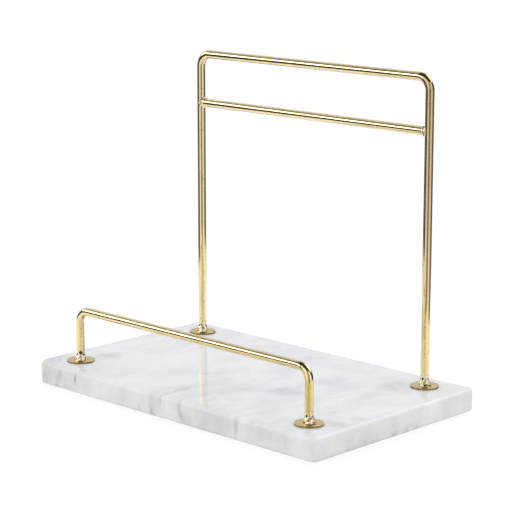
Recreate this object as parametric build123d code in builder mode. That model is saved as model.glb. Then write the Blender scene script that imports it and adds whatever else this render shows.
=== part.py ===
from build123d import *
import os

# Paper towel holder: a marble slab that carries two bent-rod frames.
# Millimetres.  +X runs along the slab's long side, -Y is the front, +Z is up.
# The origin is on the resting plane, under the middle of the slab.

# --- driving dimensions -------------------------------------------------------

SLAB_WIDTH = 250.0  # along X
SLAB_DEPTH = 150.0  # along Y
SLAB_THICKNESS = 15.0
SLAB_CORNER_RADIUS = 5.0  # upright corners
FRONT_LEFT_CORNER_RADIUS = 9.0  # this one is ground rounder than the rest
SLAB_EDGE_RADIUS = 2.6  # top and bottom edges

PAD_DIAMETER = 12.0
PAD_HEIGHT = 2.0
PAD_EDGE_RADIUS = 0.4
PAD_INSET = 12.0  # pad centre from the slab's sides

ROD_DIAMETER = 5.5
BACK_SPAN = 200.0  # between the centrelines of the tall frame's legs
BACK_HEIGHT = 195.25  # top bar's centreline above the slab
BACK_BEND_RADIUS = 8.5  # centreline
FRONT_SPAN = 205.0
FRONT_HEIGHT = 34.5
FRONT_BEND_RADIUS = 8.5
ROW_OFFSET = 55.0  # both rows of legs from the slab's middle
CROSS_BAR_DROP = 33.25  # cross bar's centreline below the top bar's

NECK_DIAMETER = 5.0  # leg end, dressed down to pass the flange
NECK_LENGTH = 10.0
NECK_TAPER = 3.0

FLANGE_DIAMETER = 18.0
FLANGE_THICKNESS = 1.2
FLANGE_EDGE_RADIUS = 0.4

FOOT_WELD_DIAMETER = 8.6
FOOT_WELD_HEIGHT = 5.5
FOOT_WELD_HOLLOW = 0.35  # how far the bead's flank is dished

BAR_WELD_DIAMETER = 6.6  # at the bead's middle
BAR_WELD_END_DIAMETER = 4.4  # inside the bar and the leg
BAR_WELD_LENGTH = 4.8
BAR_WELD_OVERLAP = 2.0  # how far it reaches along the cross bar

# M3 x 20 pan head screws with large washers, in counterbores under the slab
SCREW_DIAMETER = 2.94
SCREW_LENGTH = 20.0
SCREW_TIP_CHAMFER = 0.4
HEAD_DIAMETER = 5.6
HEAD_HEIGHT = 2.4
HEAD_EDGE_RADIUS = 1.0
RECESS_WIDTH = 0.8
RECESS_SPAN = 3.2
RECESS_DEPTH = 1.3
WASHER_DIAMETER = 9.0
WASHER_BORE = 3.2
WASHER_THICKNESS = 0.8
TAP_DIAMETER = 3.0
TAP_DEPTH = 12.0
CLEARANCE_DIAMETER = 4.5
COUNTERBORE_DIAMETER = 11.0
COUNTERBORE_DEPTH = 5.0

# --- sizes worked out from them -----------------------------------------------

ROD_RADIUS = ROD_DIAMETER / 2
NECK_RADIUS = NECK_DIAMETER / 2
SLAB_BOTTOM = PAD_HEIGHT
SLAB_TOP = SLAB_BOTTOM + SLAB_THICKNESS
FLANGE_TOP = SLAB_TOP + FLANGE_THICKNESS
CROSS_BAR_Z = SLAB_TOP + BACK_HEIGHT - CROSS_BAR_DROP
CROSS_BAR_LENGTH = BACK_SPAN - ROD_DIAMETER
WASHER_BOTTOM = SLAB_BOTTOM + COUNTERBORE_DEPTH - WASHER_THICKNESS

BACK_FEET = {"back_left": (-BACK_SPAN / 2, ROW_OFFSET), "back_right": (BACK_SPAN / 2, ROW_OFFSET)}
FRONT_FEET = {
    "front_left": (-FRONT_SPAN / 2, -ROW_OFFSET),
    "front_right": (FRONT_SPAN / 2, -ROW_OFFSET),
}
FEET = {**BACK_FEET, **FRONT_FEET}
PAD_X = SLAB_WIDTH / 2 - PAD_INSET
PAD_Y = SLAB_DEPTH / 2 - PAD_INSET
PADS = {
    "back_left": (-PAD_X, PAD_Y),
    "back_right": (PAD_X, PAD_Y),
    "front_left": (-PAD_X, -PAD_Y),
    "front_right": (PAD_X, -PAD_Y),
}


def save(builder, name):
    """Label a finished piece and write its STEP file."""
    builder.part.label = name
    export_step(builder.part, f"parts/{name}.step")


def upright_plane(x, y, z):
    """A plane facing the front: its X is the part's X and its Y is the part's Z."""
    return Plane(origin=(x, y, z), x_dir=(1, 0, 0), z_dir=(0, -1, 0))


def rod_frame(feet, span, height, bend_radius):
    """A rod bent into an upside-down U, its leg ends dressed down and tapped for screws."""
    y = list(feet.values())[0][1]
    with BuildPart() as frame:
        with BuildLine(upright_plane(0, y, SLAB_TOP)) as route:
            FilletPolyline(
                (-span / 2, 0), (-span / 2, height), (span / 2, height), (span / 2, 0),
                radius=bend_radius,
            )
        with BuildSketch(Plane(origin=route.line @ 0, z_dir=route.line % 0)):
            Circle(ROD_RADIUS)
        sweep()
        for foot_x, foot_y in feet.values():
            # the ring of metal taken off each leg end, with its taper
            with BuildSketch(upright_plane(foot_x, foot_y, SLAB_TOP)):
                with BuildLine():
                    Polyline(
                        (NECK_RADIUS, 0),
                        (ROD_DIAMETER, 0),
                        (ROD_DIAMETER, NECK_LENGTH + NECK_TAPER),
                        (ROD_RADIUS, NECK_LENGTH + NECK_TAPER),
                        (NECK_RADIUS, NECK_LENGTH),
                        close=True,
                    )
                make_face()
            revolve(axis=Axis((foot_x, foot_y, SLAB_TOP), (0, 0, 1)), mode=Mode.SUBTRACT)
        with BuildSketch(Plane.XY.offset(SLAB_TOP)):
            with Locations(*feet.values()):
                Circle(TAP_DIAMETER / 2)
        extrude(amount=TAP_DEPTH, mode=Mode.SUBTRACT)
    return frame


def flange(x, y):
    """The thin round plate that spreads a leg's load on the slab."""
    with BuildPart() as plate:
        with BuildSketch(Plane((x, y, SLAB_TOP))):
            Circle(FLANGE_DIAMETER / 2)
        extrude(amount=FLANGE_THICKNESS)
        fillet(plate.faces().sort_by(Axis.Z)[-1].edges(), FLANGE_EDGE_RADIUS)
        with Locations((x, y, FLANGE_TOP)):
            Hole(NECK_RADIUS)
    return plate


def foot_weld(x, y):
    """The dished cone of weld metal between a leg and its flange."""
    base = FOOT_WELD_DIAMETER / 2
    middle = ((base + NECK_RADIUS) / 2 - FOOT_WELD_HOLLOW, FOOT_WELD_HEIGHT / 2 - FOOT_WELD_HOLLOW)
    with BuildPart() as bead:
        with BuildSketch(upright_plane(x, y, FLANGE_TOP)):
            with BuildLine():
                Line((NECK_RADIUS, 0), (base, 0))
                ThreePointArc((base, 0), middle, (NECK_RADIUS, FOOT_WELD_HEIGHT))
                Line((NECK_RADIUS, FOOT_WELD_HEIGHT), (NECK_RADIUS, 0))
            make_face()
        revolve(axis=Axis((x, y, FLANGE_TOP), (0, 0, 1)))
    return bead


def bar_weld(side):
    """The bead that joins the cross bar's square end to a leg: -1 is the left one, 1 the right."""
    inner = side * (CROSS_BAR_LENGTH / 2 - BAR_WELD_OVERLAP)
    outer = inner + side * BAR_WELD_LENGTH
    crown = ((inner + outer) / 2, BAR_WELD_DIAMETER / 2)
    end_radius = BAR_WELD_END_DIAMETER / 2
    with BuildPart() as bead:
        with BuildSketch(upright_plane(0, ROW_OFFSET, CROSS_BAR_Z)):
            with BuildLine():
                ThreePointArc((inner, end_radius), crown, (outer, end_radius))
                Polyline((outer, end_radius), (outer, 0), (inner, 0), (inner, end_radius))
            make_face()
        revolve(axis=Axis((0, ROW_OFFSET, CROSS_BAR_Z), (1, 0, 0)))
        # room for the leg
        with BuildSketch(Plane((side * BACK_SPAN / 2, ROW_OFFSET, CROSS_BAR_Z))):
            Circle(ROD_RADIUS)
        extrude(amount=BAR_WELD_DIAMETER, both=True, mode=Mode.SUBTRACT)
        # room for the cross bar
        with BuildSketch(Plane((0, ROW_OFFSET, CROSS_BAR_Z), z_dir=(side, 0, 0))):
            Circle(ROD_RADIUS)
        extrude(amount=CROSS_BAR_LENGTH / 2, mode=Mode.SUBTRACT)
    return bead


def screw(x, y):
    """A pan head screw with a cross recess, its head down in the counterbore."""
    with BuildPart() as fastener:
        with BuildSketch(Plane((x, y, WASHER_BOTTOM))):
            Circle(HEAD_DIAMETER / 2)
        extrude(amount=-HEAD_HEIGHT)
        fillet(fastener.faces().sort_by(Axis.Z)[0].edges(), HEAD_EDGE_RADIUS)
        with BuildSketch(Plane((x, y, WASHER_BOTTOM - HEAD_HEIGHT))):
            Rectangle(RECESS_SPAN, RECESS_WIDTH)
            Rectangle(RECESS_WIDTH, RECESS_SPAN)
        extrude(amount=RECESS_DEPTH, mode=Mode.SUBTRACT)
        with BuildSketch(Plane((x, y, WASHER_BOTTOM))):
            Circle(SCREW_DIAMETER / 2)
        extrude(amount=SCREW_LENGTH)
        chamfer(fastener.faces().sort_by(Axis.Z)[-1].edges(), SCREW_TIP_CHAMFER)
    return fastener


def washer(x, y):
    """The large flat washer that spreads a screw's load on the stone."""
    with BuildPart() as ring:
        with BuildSketch(Plane((x, y, WASHER_BOTTOM))):
            Circle(WASHER_DIAMETER / 2)
            Circle(WASHER_BORE / 2, mode=Mode.SUBTRACT)
        extrude(amount=WASHER_THICKNESS)
    return ring


def pad(x, y):
    """A round rubber foot, glued under the slab near a corner."""
    with BuildPart() as disc:
        with BuildSketch(Plane((x, y, 0))):
            Circle(PAD_DIAMETER / 2)
        extrude(amount=PAD_HEIGHT)
        fillet(disc.faces().sort_by(Axis.Z)[0].edges(), PAD_EDGE_RADIUS)
    return disc


os.makedirs("parts", exist_ok=True)

# --- the marble slab ----------------------------------------------------------

with BuildPart() as marble_base:
    with BuildSketch(Plane.XY.offset(SLAB_BOTTOM)):
        Rectangle(SLAB_WIDTH, SLAB_DEPTH)
    extrude(amount=SLAB_THICKNESS)
    uprights = marble_base.edges().filter_by(Axis.Z).sort_by(Axis.Y)
    front_left = uprights[:2].sort_by(Axis.X)[0]
    fillet([edge for edge in uprights if edge is not front_left], SLAB_CORNER_RADIUS)
    front_left = marble_base.edges().filter_by(Axis.Z).group_by(Axis.Y)[0].sort_by(Axis.X)[0]
    fillet(front_left, FRONT_LEFT_CORNER_RADIUS)
    flat_faces = marble_base.faces().sort_by(Axis.Z)
    fillet(flat_faces[0].edges() + flat_faces[-1].edges(), SLAB_EDGE_RADIUS)
    # the screw holes are drilled from below, so their places are turned over
    with Locations(*[Location((x, y, SLAB_BOTTOM), (180, 0, 0)) for x, y in FEET.values()]):
        CounterBoreHole(CLEARANCE_DIAMETER / 2, COUNTERBORE_DIAMETER / 2, COUNTERBORE_DEPTH)
save(marble_base, "marble_base")

# --- the two rod frames -------------------------------------------------------

save(rod_frame(BACK_FEET, BACK_SPAN, BACK_HEIGHT, BACK_BEND_RADIUS), "back_frame")
save(rod_frame(FRONT_FEET, FRONT_SPAN, FRONT_HEIGHT, FRONT_BEND_RADIUS), "front_rail")

with BuildPart() as cross_bar:
    with BuildSketch(Plane((0, ROW_OFFSET, CROSS_BAR_Z), z_dir=(1, 0, 0))):
        Circle(ROD_RADIUS)
    extrude(amount=CROSS_BAR_LENGTH / 2, both=True)
save(cross_bar, "cross_bar")

save(bar_weld(-1), "cross_bar_left_weld")
save(bar_weld(1), "cross_bar_right_weld")

# --- what each leg stands on and is held by -----------------------------------

for place, (foot_x, foot_y) in FEET.items():
    save(flange(foot_x, foot_y), f"{place}_flange")
    save(foot_weld(foot_x, foot_y), f"{place}_foot_weld")
    save(screw(foot_x, foot_y), f"{place}_screw")
    save(washer(foot_x, foot_y), f"{place}_washer")

for place, (pad_x, pad_y) in PADS.items():
    save(pad(pad_x, pad_y), f"{place}_pad")
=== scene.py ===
"""Paper towel holder: a polished marble slab that carries a tall gilt wire frame at the back and a low
gilt wire rail at the front, each leg brazed to a round flange and held by a screw from below."""

from __future__ import annotations

import logging
import math
from abc import ABC, abstractmethod
from dataclasses import dataclass, field
from enum import Enum
from typing import Any, Callable, Sequence

import bmesh
import bpy
from bpy.types import Material, Mesh, Node, NodeSocket, NodeTree, Object
from mathutils import Matrix, Vector, noise

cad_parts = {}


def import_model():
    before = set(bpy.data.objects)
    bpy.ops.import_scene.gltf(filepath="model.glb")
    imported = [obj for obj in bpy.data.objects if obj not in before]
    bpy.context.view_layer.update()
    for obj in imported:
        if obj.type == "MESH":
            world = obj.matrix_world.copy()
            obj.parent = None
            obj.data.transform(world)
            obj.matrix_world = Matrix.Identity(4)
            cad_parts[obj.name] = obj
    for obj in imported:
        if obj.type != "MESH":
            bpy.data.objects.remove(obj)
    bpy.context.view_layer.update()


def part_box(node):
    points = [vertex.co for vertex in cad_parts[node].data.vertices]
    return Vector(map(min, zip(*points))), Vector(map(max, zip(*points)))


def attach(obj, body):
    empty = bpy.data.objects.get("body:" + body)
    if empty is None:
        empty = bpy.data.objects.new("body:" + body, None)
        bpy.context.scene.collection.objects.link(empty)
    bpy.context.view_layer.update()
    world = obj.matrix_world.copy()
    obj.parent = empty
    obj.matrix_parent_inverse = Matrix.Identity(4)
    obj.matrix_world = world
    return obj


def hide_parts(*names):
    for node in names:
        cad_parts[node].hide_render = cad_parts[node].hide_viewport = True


MM = 0.001
LOG = logging.getLogger("towel_holder")
Profile = Sequence[tuple[float, float]]
Warp = Callable[[float, float, float], tuple[float, float]]
Source = NodeSocket | Node  # what a link starts from: an output socket, or a node for its first output
Inputs = dict[str | int, Any] | Sequence[Any]


def linear(code: str) -> tuple[float, float, float, float]:
    """Turns an sRGB hex colour into the linear colour that a shader takes.

    Args:
        code: six hex digits with a leading #.

    Returns:
        Red, green, blue and an alpha of 1.
    """
    parts = [int(code[i : i + 2], 16) / 255 for i in (1, 3, 5)]
    red, green, blue = (c / 12.92 if c <= 0.04045 else ((c + 0.055) / 1.055) ** 2.4 for c in parts)
    return red, green, blue, 1.0


def plug(tree: NodeTree, node: Node, inputs: Inputs) -> None:
    """Sets or links the inputs of a node.

    Args:
        tree: the tree that the node is in.
        node: the node.
        inputs: for each input, by name, by number or in order, a value or the source to link from.
    """
    for key, value in inputs.items() if isinstance(inputs, dict) else enumerate(inputs):
        if isinstance(value, Source):
            tree.links.new(value.outputs[0] if isinstance(value, Node) else value, node.inputs[key])
        else:
            node.inputs[key].default_value = value


def add(tree: NodeTree, kind: str, inputs: Inputs = (), **settings: Any) -> Any:
    """Adds a node to a tree with its settings, its values and its links.

    Args:
        tree: the tree that gets the node.
        kind: the node's type name.
        inputs: what goes into the node, as plug takes it.
        settings: properties of the node itself.

    Returns:
        The new node.
    """
    node = tree.nodes.new(kind)
    for key, value in settings.items():
        setattr(node, key, value)
    plug(tree, node, inputs)
    return node


def tinted(tree: NodeTree, under: Any, over: str, amount: Source) -> Source:
    """Lays one colour over another.

    Args:
        tree: the material's tree.
        under: the colour below, as a source or a linear colour.
        over: the colour above, as a hex code.
        amount: how much of the upper colour shows, from 0 to 1.

    Returns:
        The mixed colour.
    """
    return add(tree, "ShaderNodeMix", {0: amount, 6: under, 7: linear(over)}, data_type="RGBA").outputs[2]


def box_centre(node: str) -> Vector:
    """Middle of a CAD node's box, in metres."""
    low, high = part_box(node)
    return (Vector(low) + Vector(high)) / 2


def upright(node: str) -> tuple[Vector, float, float, float]:
    """Middle of a round upright CAD node, in metres, and its two ends and its radius, in millimetres."""
    low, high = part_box(node)
    middle = box_centre(node)
    return middle, low.z / MM, high.z / MM, (high.x - middle.x) / MM


def linked(name: str, mesh: Mesh) -> Object:
    """Puts a mesh in the scene as an object of that name."""
    obj = bpy.data.objects.new(name, mesh)
    bpy.context.scene.collection.objects.link(obj)
    return obj


def revolved(profile: Profile, steps: int, warp: Warp | None = None, closed: bool = False) -> Mesh:
    """Turns a profile about the Z axis into one shut skin.

    Args:
        profile: radius and height of each ring, in millimetres; a radius of 0 is a pole.
        steps: points round each ring.
        warp: moves a point, given as radius, angle and height, to a new radius and height.
        closed: whether the last ring joins the first, as in a washer.

    Returns:
        The mesh, in metres about the origin.
    """
    shape = bmesh.new()
    rings = []
    for radius, height in profile:
        ring = []
        for step in range(steps if radius > 0 else 1):
            angle = math.tau * step / steps
            r, h = warp(radius, angle, height) if warp and radius > 0 else (radius, height)
            ring.append(shape.verts.new((r * math.cos(angle) * MM, r * math.sin(angle) * MM, h * MM)))
        rings.append(ring)
    pairs = list(zip(rings, rings[1:])) + ([(rings[-1], rings[0])] if closed else [])
    for lower, upper in pairs:
        for step in range(steps):
            after = (step + 1) % steps
            corners = [lower[step % len(lower)], lower[after % len(lower)]]
            corners += [upper[after % len(upper)], upper[step % len(upper)]]
            shape.faces.new(list(dict.fromkeys(corners)))
    bmesh.ops.recalc_face_normals(shape, faces=shape.faces)
    mesh = bpy.data.meshes.new("turned")
    shape.to_mesh(mesh)
    shape.free()
    return mesh


def finer(profile: Profile, parts: int) -> list[tuple[float, float]]:
    """Splits each stretch of a profile into equal parts."""
    points = [
        (r0 + (r1 - r0) * part / parts, h0 + (h1 - h0) * part / parts)
        for (r0, h0), (r1, h1) in zip(profile, profile[1:])
        for part in range(parts)
    ]
    return points + [profile[-1]]


def smoothed(mesh: Mesh, crease: float = 40.0) -> Mesh:
    """Shades a mesh smooth, with sharp edges where it turns by more than crease degrees."""
    mesh.shade_smooth()
    mesh.set_sharp_from_angle(angle=math.radians(crease))
    return mesh


def store_painted_shade(mesh: Mesh, shade_at: Callable[[float, float], float]) -> None:
    """Stores painted shade: how dark the plating is painted at each point, 0 to 1, as a named point attribute
    that the gold finish reads.

    Args:
        mesh: a mesh about the Z axis.
        shade_at: how dark it is at an angle, in radians, and a height, in millimetres.
    """
    painted_dark = mesh.attributes.new("specks_and_shade", "FLOAT", "POINT")
    for vertex in mesh.vertices:
        angle = math.atan2(vertex.co.y, vertex.co.x)
        painted_dark.data[vertex.index].value = min(1.0, shade_at(angle, vertex.co.z / MM))


def fit(piece: Object, slot: str, *nodes: str) -> None:
    """Rides a piece on the holder's one body, in the place of CAD nodes, and reports it.

    Args:
        piece: the finished piece.
        slot: the material slot that its finish belongs to; not used.
        nodes: the CAD nodes that it stands for.
    """
    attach(piece, "root")
    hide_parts(*nodes)
    LOG.info("%s: %d faces, stands for %s", piece.name, len(piece.data.polygons), ", ".join(nodes))


class Slot(Enum):
    """The record's material slots."""

    MARBLE = "marble"
    GOLD = "gold_plated_steel"
    ZINC = "zinc_plated_steel"
    RUBBER = "rubber"


class Working(Enum):
    """How the steel under the plating was worked, which still shows through the plating."""

    DRAWN = "drawn"
    STAMPED = "stamped"
    BRAZED = "brazed"


class Stain(Enum):
    """What clouds the white of the marble."""

    GRAPHITE = "graphite"
    BLUE = "blue"
    OCHRE = "ochre"
    MILK = "milk"


@dataclass(frozen=True)
class Finish(ABC):
    """A real material with a surface, made once as a Blender material."""

    name: str

    def material(self) -> Material:
        """The finish as a material, built the first time that it is asked for."""
        known = bpy.data.materials.get(self.name)
        if known:
            return known
        made = bpy.data.materials.new(self.name)
        made.use_nodes = True
        plug(made.node_tree, made.node_tree.nodes["Principled BSDF"], self.surface(made.node_tree))
        return made

    @abstractmethod
    def surface(self, tree: NodeTree) -> dict[str, Any]:
        """Adds the finish's patterns to its tree, and gives what goes into each input of the shader."""

    def dress(self, piece: Object) -> None:
        """Gives a piece this finish alone."""
        piece.data.materials.clear()
        piece.data.materials.append(self.material())


@dataclass(frozen=True)
class GoldPlate(Finish):
    """Bright gold electroplate on mild steel: a mirror of pale yellow, sharp enough to show the lamps as hard
    bands, with the drawing lines, hammer marks or weld skin of the steel just breaking their edges."""

    working: Working = Working.DRAWN
    colour: str = "#F0DFAE"
    tarnish: str = "#D8BE84"
    # Dark brown: the random pit specks on drawn rod, and the painted shade on stampings and braze.
    specks_and_shade: str = "#33261E"
    dim_reflection_tint: str = "#CAB080"
    # Painted reflection: the upper half of the back right leg is tinted browner, standing in for a dimmer,
    # warmer reflection there.
    dim_reflection_at_mm: tuple[float, float, float] = (100.0, 55.0, 205.0)
    dim_reflection_reach_mm: tuple[float, float, float] = (9.0, 9.0, 165.0)
    roughness: float = 0.085
    grain_mm: float = 0.55
    bump_mm: float = 0.003

    def surface(self, tree: NodeTree) -> dict[str, Any]:
        """Adds the finish's patterns to its tree, and gives what goes into each input of the shader."""
        drawn = self.working is Working.DRAWN
        if drawn:
            place = add(tree, "ShaderNodeAttribute", attribute_name="straight").outputs["Vector"]
        else:
            place = add(tree, "ShaderNodeTexCoord").outputs["Object"]
        # Drawing leaves lines some 3 mm long on a 0.5 mm spacing; stamping and brazing leave round marks.
        lines = add(
            tree, "ShaderNodeMapping", {"Vector": place, "Scale": (1, 1, 0.16) if drawn else (1, 1, 1)}
        )
        grain = add(
            tree, "ShaderNodeTexNoise",
            {"Vector": lines, "Scale": 1 / (self.grain_mm * MM), "Detail": 3.0, "Roughness": 0.6},
        )
        skin = add(tree, "ShaderNodeTexNoise", {"Vector": place, "Scale": 1 / (2.2 * MM), "Detail": 2.0})
        patches = add(tree, "ShaderNodeTexNoise", {"Vector": place, "Scale": 1 / (9 * MM), "Detail": 4.0})
        dull = add(tree, "ShaderNodeMapRange", [patches, 0.42, 0.75, 0.0, 0.4])
        colour = tinted(tree, linear(self.colour), self.tarnish, dull)
        if drawn:
            # Painted reflection: a lens of browner tint darkens the upper half of the back right leg.
            lens = add(
                tree,
                "ShaderNodeMapping",
                {
                    "Vector": add(tree, "ShaderNodeTexCoord").outputs["Object"],
                    "Location": Vector(self.dim_reflection_at_mm) * MM, "Scale": Vector(self.dim_reflection_reach_mm) * MM,
                },
                vector_type="TEXTURE",
            )
            off = add(tree, "ShaderNodeVectorMath", [lens], operation="LENGTH")
            dim_reflected = add(tree, "ShaderNodeMapRange", [off.outputs["Value"], 1.0, 0.1, 0.0, 1.0])
            colour = tinted(tree, colour, self.dim_reflection_tint, dim_reflected)
            speck_mm = 0.9
            specks = add(tree, "ShaderNodeTexNoise", {"Vector": place, "Scale": 1 / (speck_mm * MM)})
            pitted = add(tree, "ShaderNodeMapRange", [specks, 0.62, 0.72, 0.0, 0.6])
            colour = tinted(tree, colour, self.specks_and_shade, pitted)
        else:
            # Painted shade: darkening stored on the piece's points, on the flange rim, in the collar pits and
            # in the bead's groove and joint.
            painted_dark = add(tree, "ShaderNodeAttribute", attribute_name="specks_and_shade")
            colour = tinted(tree, colour, self.specks_and_shade, painted_dark.outputs["Fac"])
        gloss = add(
            tree, "ShaderNodeMapRange", [grain, 0.3, 0.7, self.roughness * 0.75, self.roughness * 1.35]
        )
        fine = add(tree, "ShaderNodeBump", {"Height": grain, "Strength": 1.0, "Distance": self.bump_mm * MM})
        broad = add(
            tree, "ShaderNodeBump",
            {"Height": skin, "Strength": 1.0, "Distance": self.bump_mm * MM * 3, "Normal": fine},
        )
        return {"Base Color": colour, "Roughness": gloss, "Normal": broad, "Metallic": 1.0}


@dataclass(frozen=True)
class ZincPlate(Finish):
    """Bright zinc electroplate on a cold-headed screw: cool grey, satin, blotched by its passivation."""

    colour: str = "#C4C8CC"
    shade: str = "#9FA5AC"
    roughness: float = 0.28

    def surface(self, tree: NodeTree) -> dict[str, Any]:
        """Adds the finish's patterns to its tree, and gives what goes into each input of the shader."""
        place = add(tree, "ShaderNodeTexCoord").outputs["Object"]
        blotch = add(tree, "ShaderNodeTexNoise", {"Vector": place, "Scale": 1 / (1.6 * MM), "Detail": 4.0})
        spangle = add(tree, "ShaderNodeTexVoronoi", {"Vector": place, "Scale": 1 / (0.35 * MM)})
        colour = tinted(tree, linear(self.colour), self.shade, blotch)
        gloss = add(
            tree, "ShaderNodeMapRange", [blotch, 0.3, 0.7, self.roughness * 0.7, self.roughness * 1.4]
        )
        bump = add(tree, "ShaderNodeBump", {"Height": spangle, "Strength": 0.5, "Distance": 0.01 * MM})
        return {"Base Color": colour, "Roughness": gloss, "Normal": bump, "Metallic": 1.0}


@dataclass(frozen=True)
class MouldedRubber(Finish):
    """Moulded clear-grey elastomer bumper: milky and soft, with the fine pebble of its mould."""

    colour: str = "#B9BAB8"
    shade: str = "#A2A3A1"

    def surface(self, tree: NodeTree) -> dict[str, Any]:
        """Adds the finish's patterns to its tree, and gives what goes into each input of the shader."""
        place = add(tree, "ShaderNodeTexCoord").outputs["Object"]
        pebble = add(tree, "ShaderNodeTexNoise", {"Vector": place, "Scale": 1 / (0.3 * MM), "Detail": 3.0})
        haze = add(tree, "ShaderNodeTexNoise", {"Vector": place, "Scale": 1 / (4 * MM), "Detail": 2.0})
        colour = tinted(tree, linear(self.colour), self.shade, haze)
        bump = add(tree, "ShaderNodeBump", {"Height": pebble, "Strength": 0.6, "Distance": 0.03 * MM})
        gloss = add(tree, "ShaderNodeMapRange", [pebble, 0.3, 0.7, 0.5, 0.7])
        return {"Base Color": colour, "Roughness": gloss, "Normal": bump}


@dataclass(frozen=True)
class Cloud:
    """A stained lens inside the stone, in millimetres from the middle of the slab's footprint."""

    x: float
    y: float
    z: float
    long_x: float
    long_y: float
    long_z: float
    strength: float
    stain: Stain = Stain.GRAPHITE
    turn: float = 0.0


@dataclass(frozen=True)
class VeinedMarble(Finish):
    """White marble, polished on top and honed on its sides: a cool milky white with crystal grain, soft grey
    clouds that run through the thickness and a few narrow dark veins that reach the front edge."""

    clouds: tuple[Cloud, ...] = ()
    white: str = "#F0F2F6"
    graphite: str = "#8B8D90"
    blue: str = "#B7BCCE"
    ochre: str = "#B9AC9F"
    milk: str = "#F9F9FF"
    honed: str = "#FCFCF7"

    def surface(self, tree: NodeTree) -> dict[str, Any]:
        """Adds the finish's patterns to its tree, and gives what goes into each input of the shader."""
        coordinates = add(tree, "ShaderNodeTexCoord").outputs["Object"]
        place = add(tree, "ShaderNodeVectorMath", {0: coordinates, 3: 1 / MM}, operation="SCALE")
        bent = self.bent(tree, place)
        stains = {stain: self.sum_of(tree, bent, stain) for stain in Stain}
        bedding = self.bedding(tree, bent)
        grey = add(tree, "ShaderNodeMath", [stains[Stain.GRAPHITE], bedding], operation="ADD")
        grain = add(tree, "ShaderNodeTexVoronoi", {"Vector": place, "Scale": 1.1})
        colour = tinted(tree, linear(self.white), self.milk, stains[Stain.MILK])
        colour = tinted(tree, colour, self.blue, stains[Stain.BLUE])
        colour = tinted(tree, colour, self.ochre, stains[Stain.OCHRE])
        colour = tinted(tree, colour, self.graphite, grey)
        upward = self.upward(tree)
        side = add(tree, "ShaderNodeMath", [1.0, upward], operation="SUBTRACT")
        dull = tinted(tree, (1.0, 1.0, 1.0, 1.0), self.honed, side)
        toned = add(
            tree, "ShaderNodeMix", {0: 1.0, 6: colour, 7: dull}, data_type="RGBA", blend_type="MULTIPLY"
        )
        crystal = add(tree, "ShaderNodeMapRange", [grain.outputs["Color"], 0.0, 1.0, 0.972, 1.02])
        sparkle = add(tree, "ShaderNodeVectorMath", {0: toned.outputs[2], 3: crystal}, operation="SCALE")
        gloss = add(tree, "ShaderNodeMapRange", [upward, 0.0, 1.0, 0.42, 0.11])
        pitting = {"Vector": place, "Scale": 0.9, "Detail": 4.0, "Roughness": 0.7}
        pits = add(tree, "ShaderNodeTexNoise", pitting)
        depth = add(tree, "ShaderNodeMapRange", [upward, 0.0, 1.0, 0.35, 0.03])
        bump = add(tree, "ShaderNodeBump", {"Height": pits, "Strength": depth, "Distance": 0.12 * MM})
        return {
            "Base Color": sparkle, "Roughness": gloss, "Normal": bump, "IOR": 1.5, "Specular IOR Level": 0.25,
            "Subsurface Weight": 0.2, "Subsurface Radius": (1.0, 0.95, 0.9), "Subsurface Scale": 2 * MM,
        }

    @staticmethod
    def bent(tree: NodeTree, place: Source) -> Source:
        """Folds the stone, so that no cloud keeps a plain outline.

        Args:
            tree: the material's tree.
            place: the point in millimetres.

        Returns:
            The folded point in millimetres.
        """
        for size, reach in ((26.0, 16.0), (7.0, 5.0), (2.0, 1.4)):
            swirl = add(tree, "ShaderNodeTexNoise", {"Vector": place, "Scale": 1 / size, "Detail": 2.0})
            centred = add(
                tree, "ShaderNodeVectorMath", [swirl.outputs["Color"], (0.5, 0.5, 0.5)], operation="SUBTRACT"
            )
            moved = add(
                tree, "ShaderNodeVectorMath", [centred, (reach, reach, reach * 0.5), place],
                operation="MULTIPLY_ADD",
            )
            place = moved
        return place

    def sum_of(self, tree: NodeTree, place: Source, stain: Stain) -> Source:
        """Adds up the clouds of one stain.

        Args:
            tree: the material's tree.
            place: the folded point in millimetres.
            stain: which clouds to add.

        Returns:
            How much of the stain there is, broken up as the crystals let it through.
        """
        total: Any = 0.0
        for cloud in self.clouds:
            if cloud.stain is not stain:
                continue
            lens = add(
                tree,
                "ShaderNodeMapping",
                {
                    "Vector": place, "Location": (cloud.x, cloud.y, cloud.z),
                    "Rotation": (0.0, 0.0, math.radians(cloud.turn)),
                    "Scale": (cloud.long_x, cloud.long_y, cloud.long_z),
                },
                vector_type="TEXTURE",
            )
            reach = add(tree, "ShaderNodeVectorMath", [lens], operation="LENGTH")
            body = add(
                tree, "ShaderNodeMapRange", [reach.outputs["Value"], 1.0, 0.15, 0.0, cloud.strength],
                interpolation_type="SMOOTHSTEP",
            )
            total = add(tree, "ShaderNodeMath", [body, total], operation="ADD")
        broken = {"Vector": place, "Scale": 0.22, "Detail": 5.0, "Roughness": 0.68}
        wisps = add(tree, "ShaderNodeTexNoise", broken)
        share = add(tree, "ShaderNodeMapRange", [wisps, 0.3, 0.7, 0.3, 1.5])
        return add(tree, "ShaderNodeMath", [total, share], operation="MULTIPLY")

    @staticmethod
    def bedding(tree: NodeTree, place: Source) -> Source:
        """Faint grey sheets across the stone, some 30 mm apart, which stand nearly upright.

        Args:
            tree: the material's tree.
            place: the folded point in millimetres.

        Returns:
            How grey the stone is.
        """
        sheets = add(
            tree, "ShaderNodeMapping", {"Vector": place, "Rotation": (0, 0.1, 0.5), "Scale": (1.0, 0.42, 0.3)}
        )
        mist = add(
            tree, "ShaderNodeTexNoise", {"Vector": sheets, "Scale": 1 / 17, "Detail": 5.0, "Roughness": 0.62}
        )
        return add(tree, "ShaderNodeMapRange", [mist, 0.42, 0.8, 0.0, 0.24])

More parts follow.
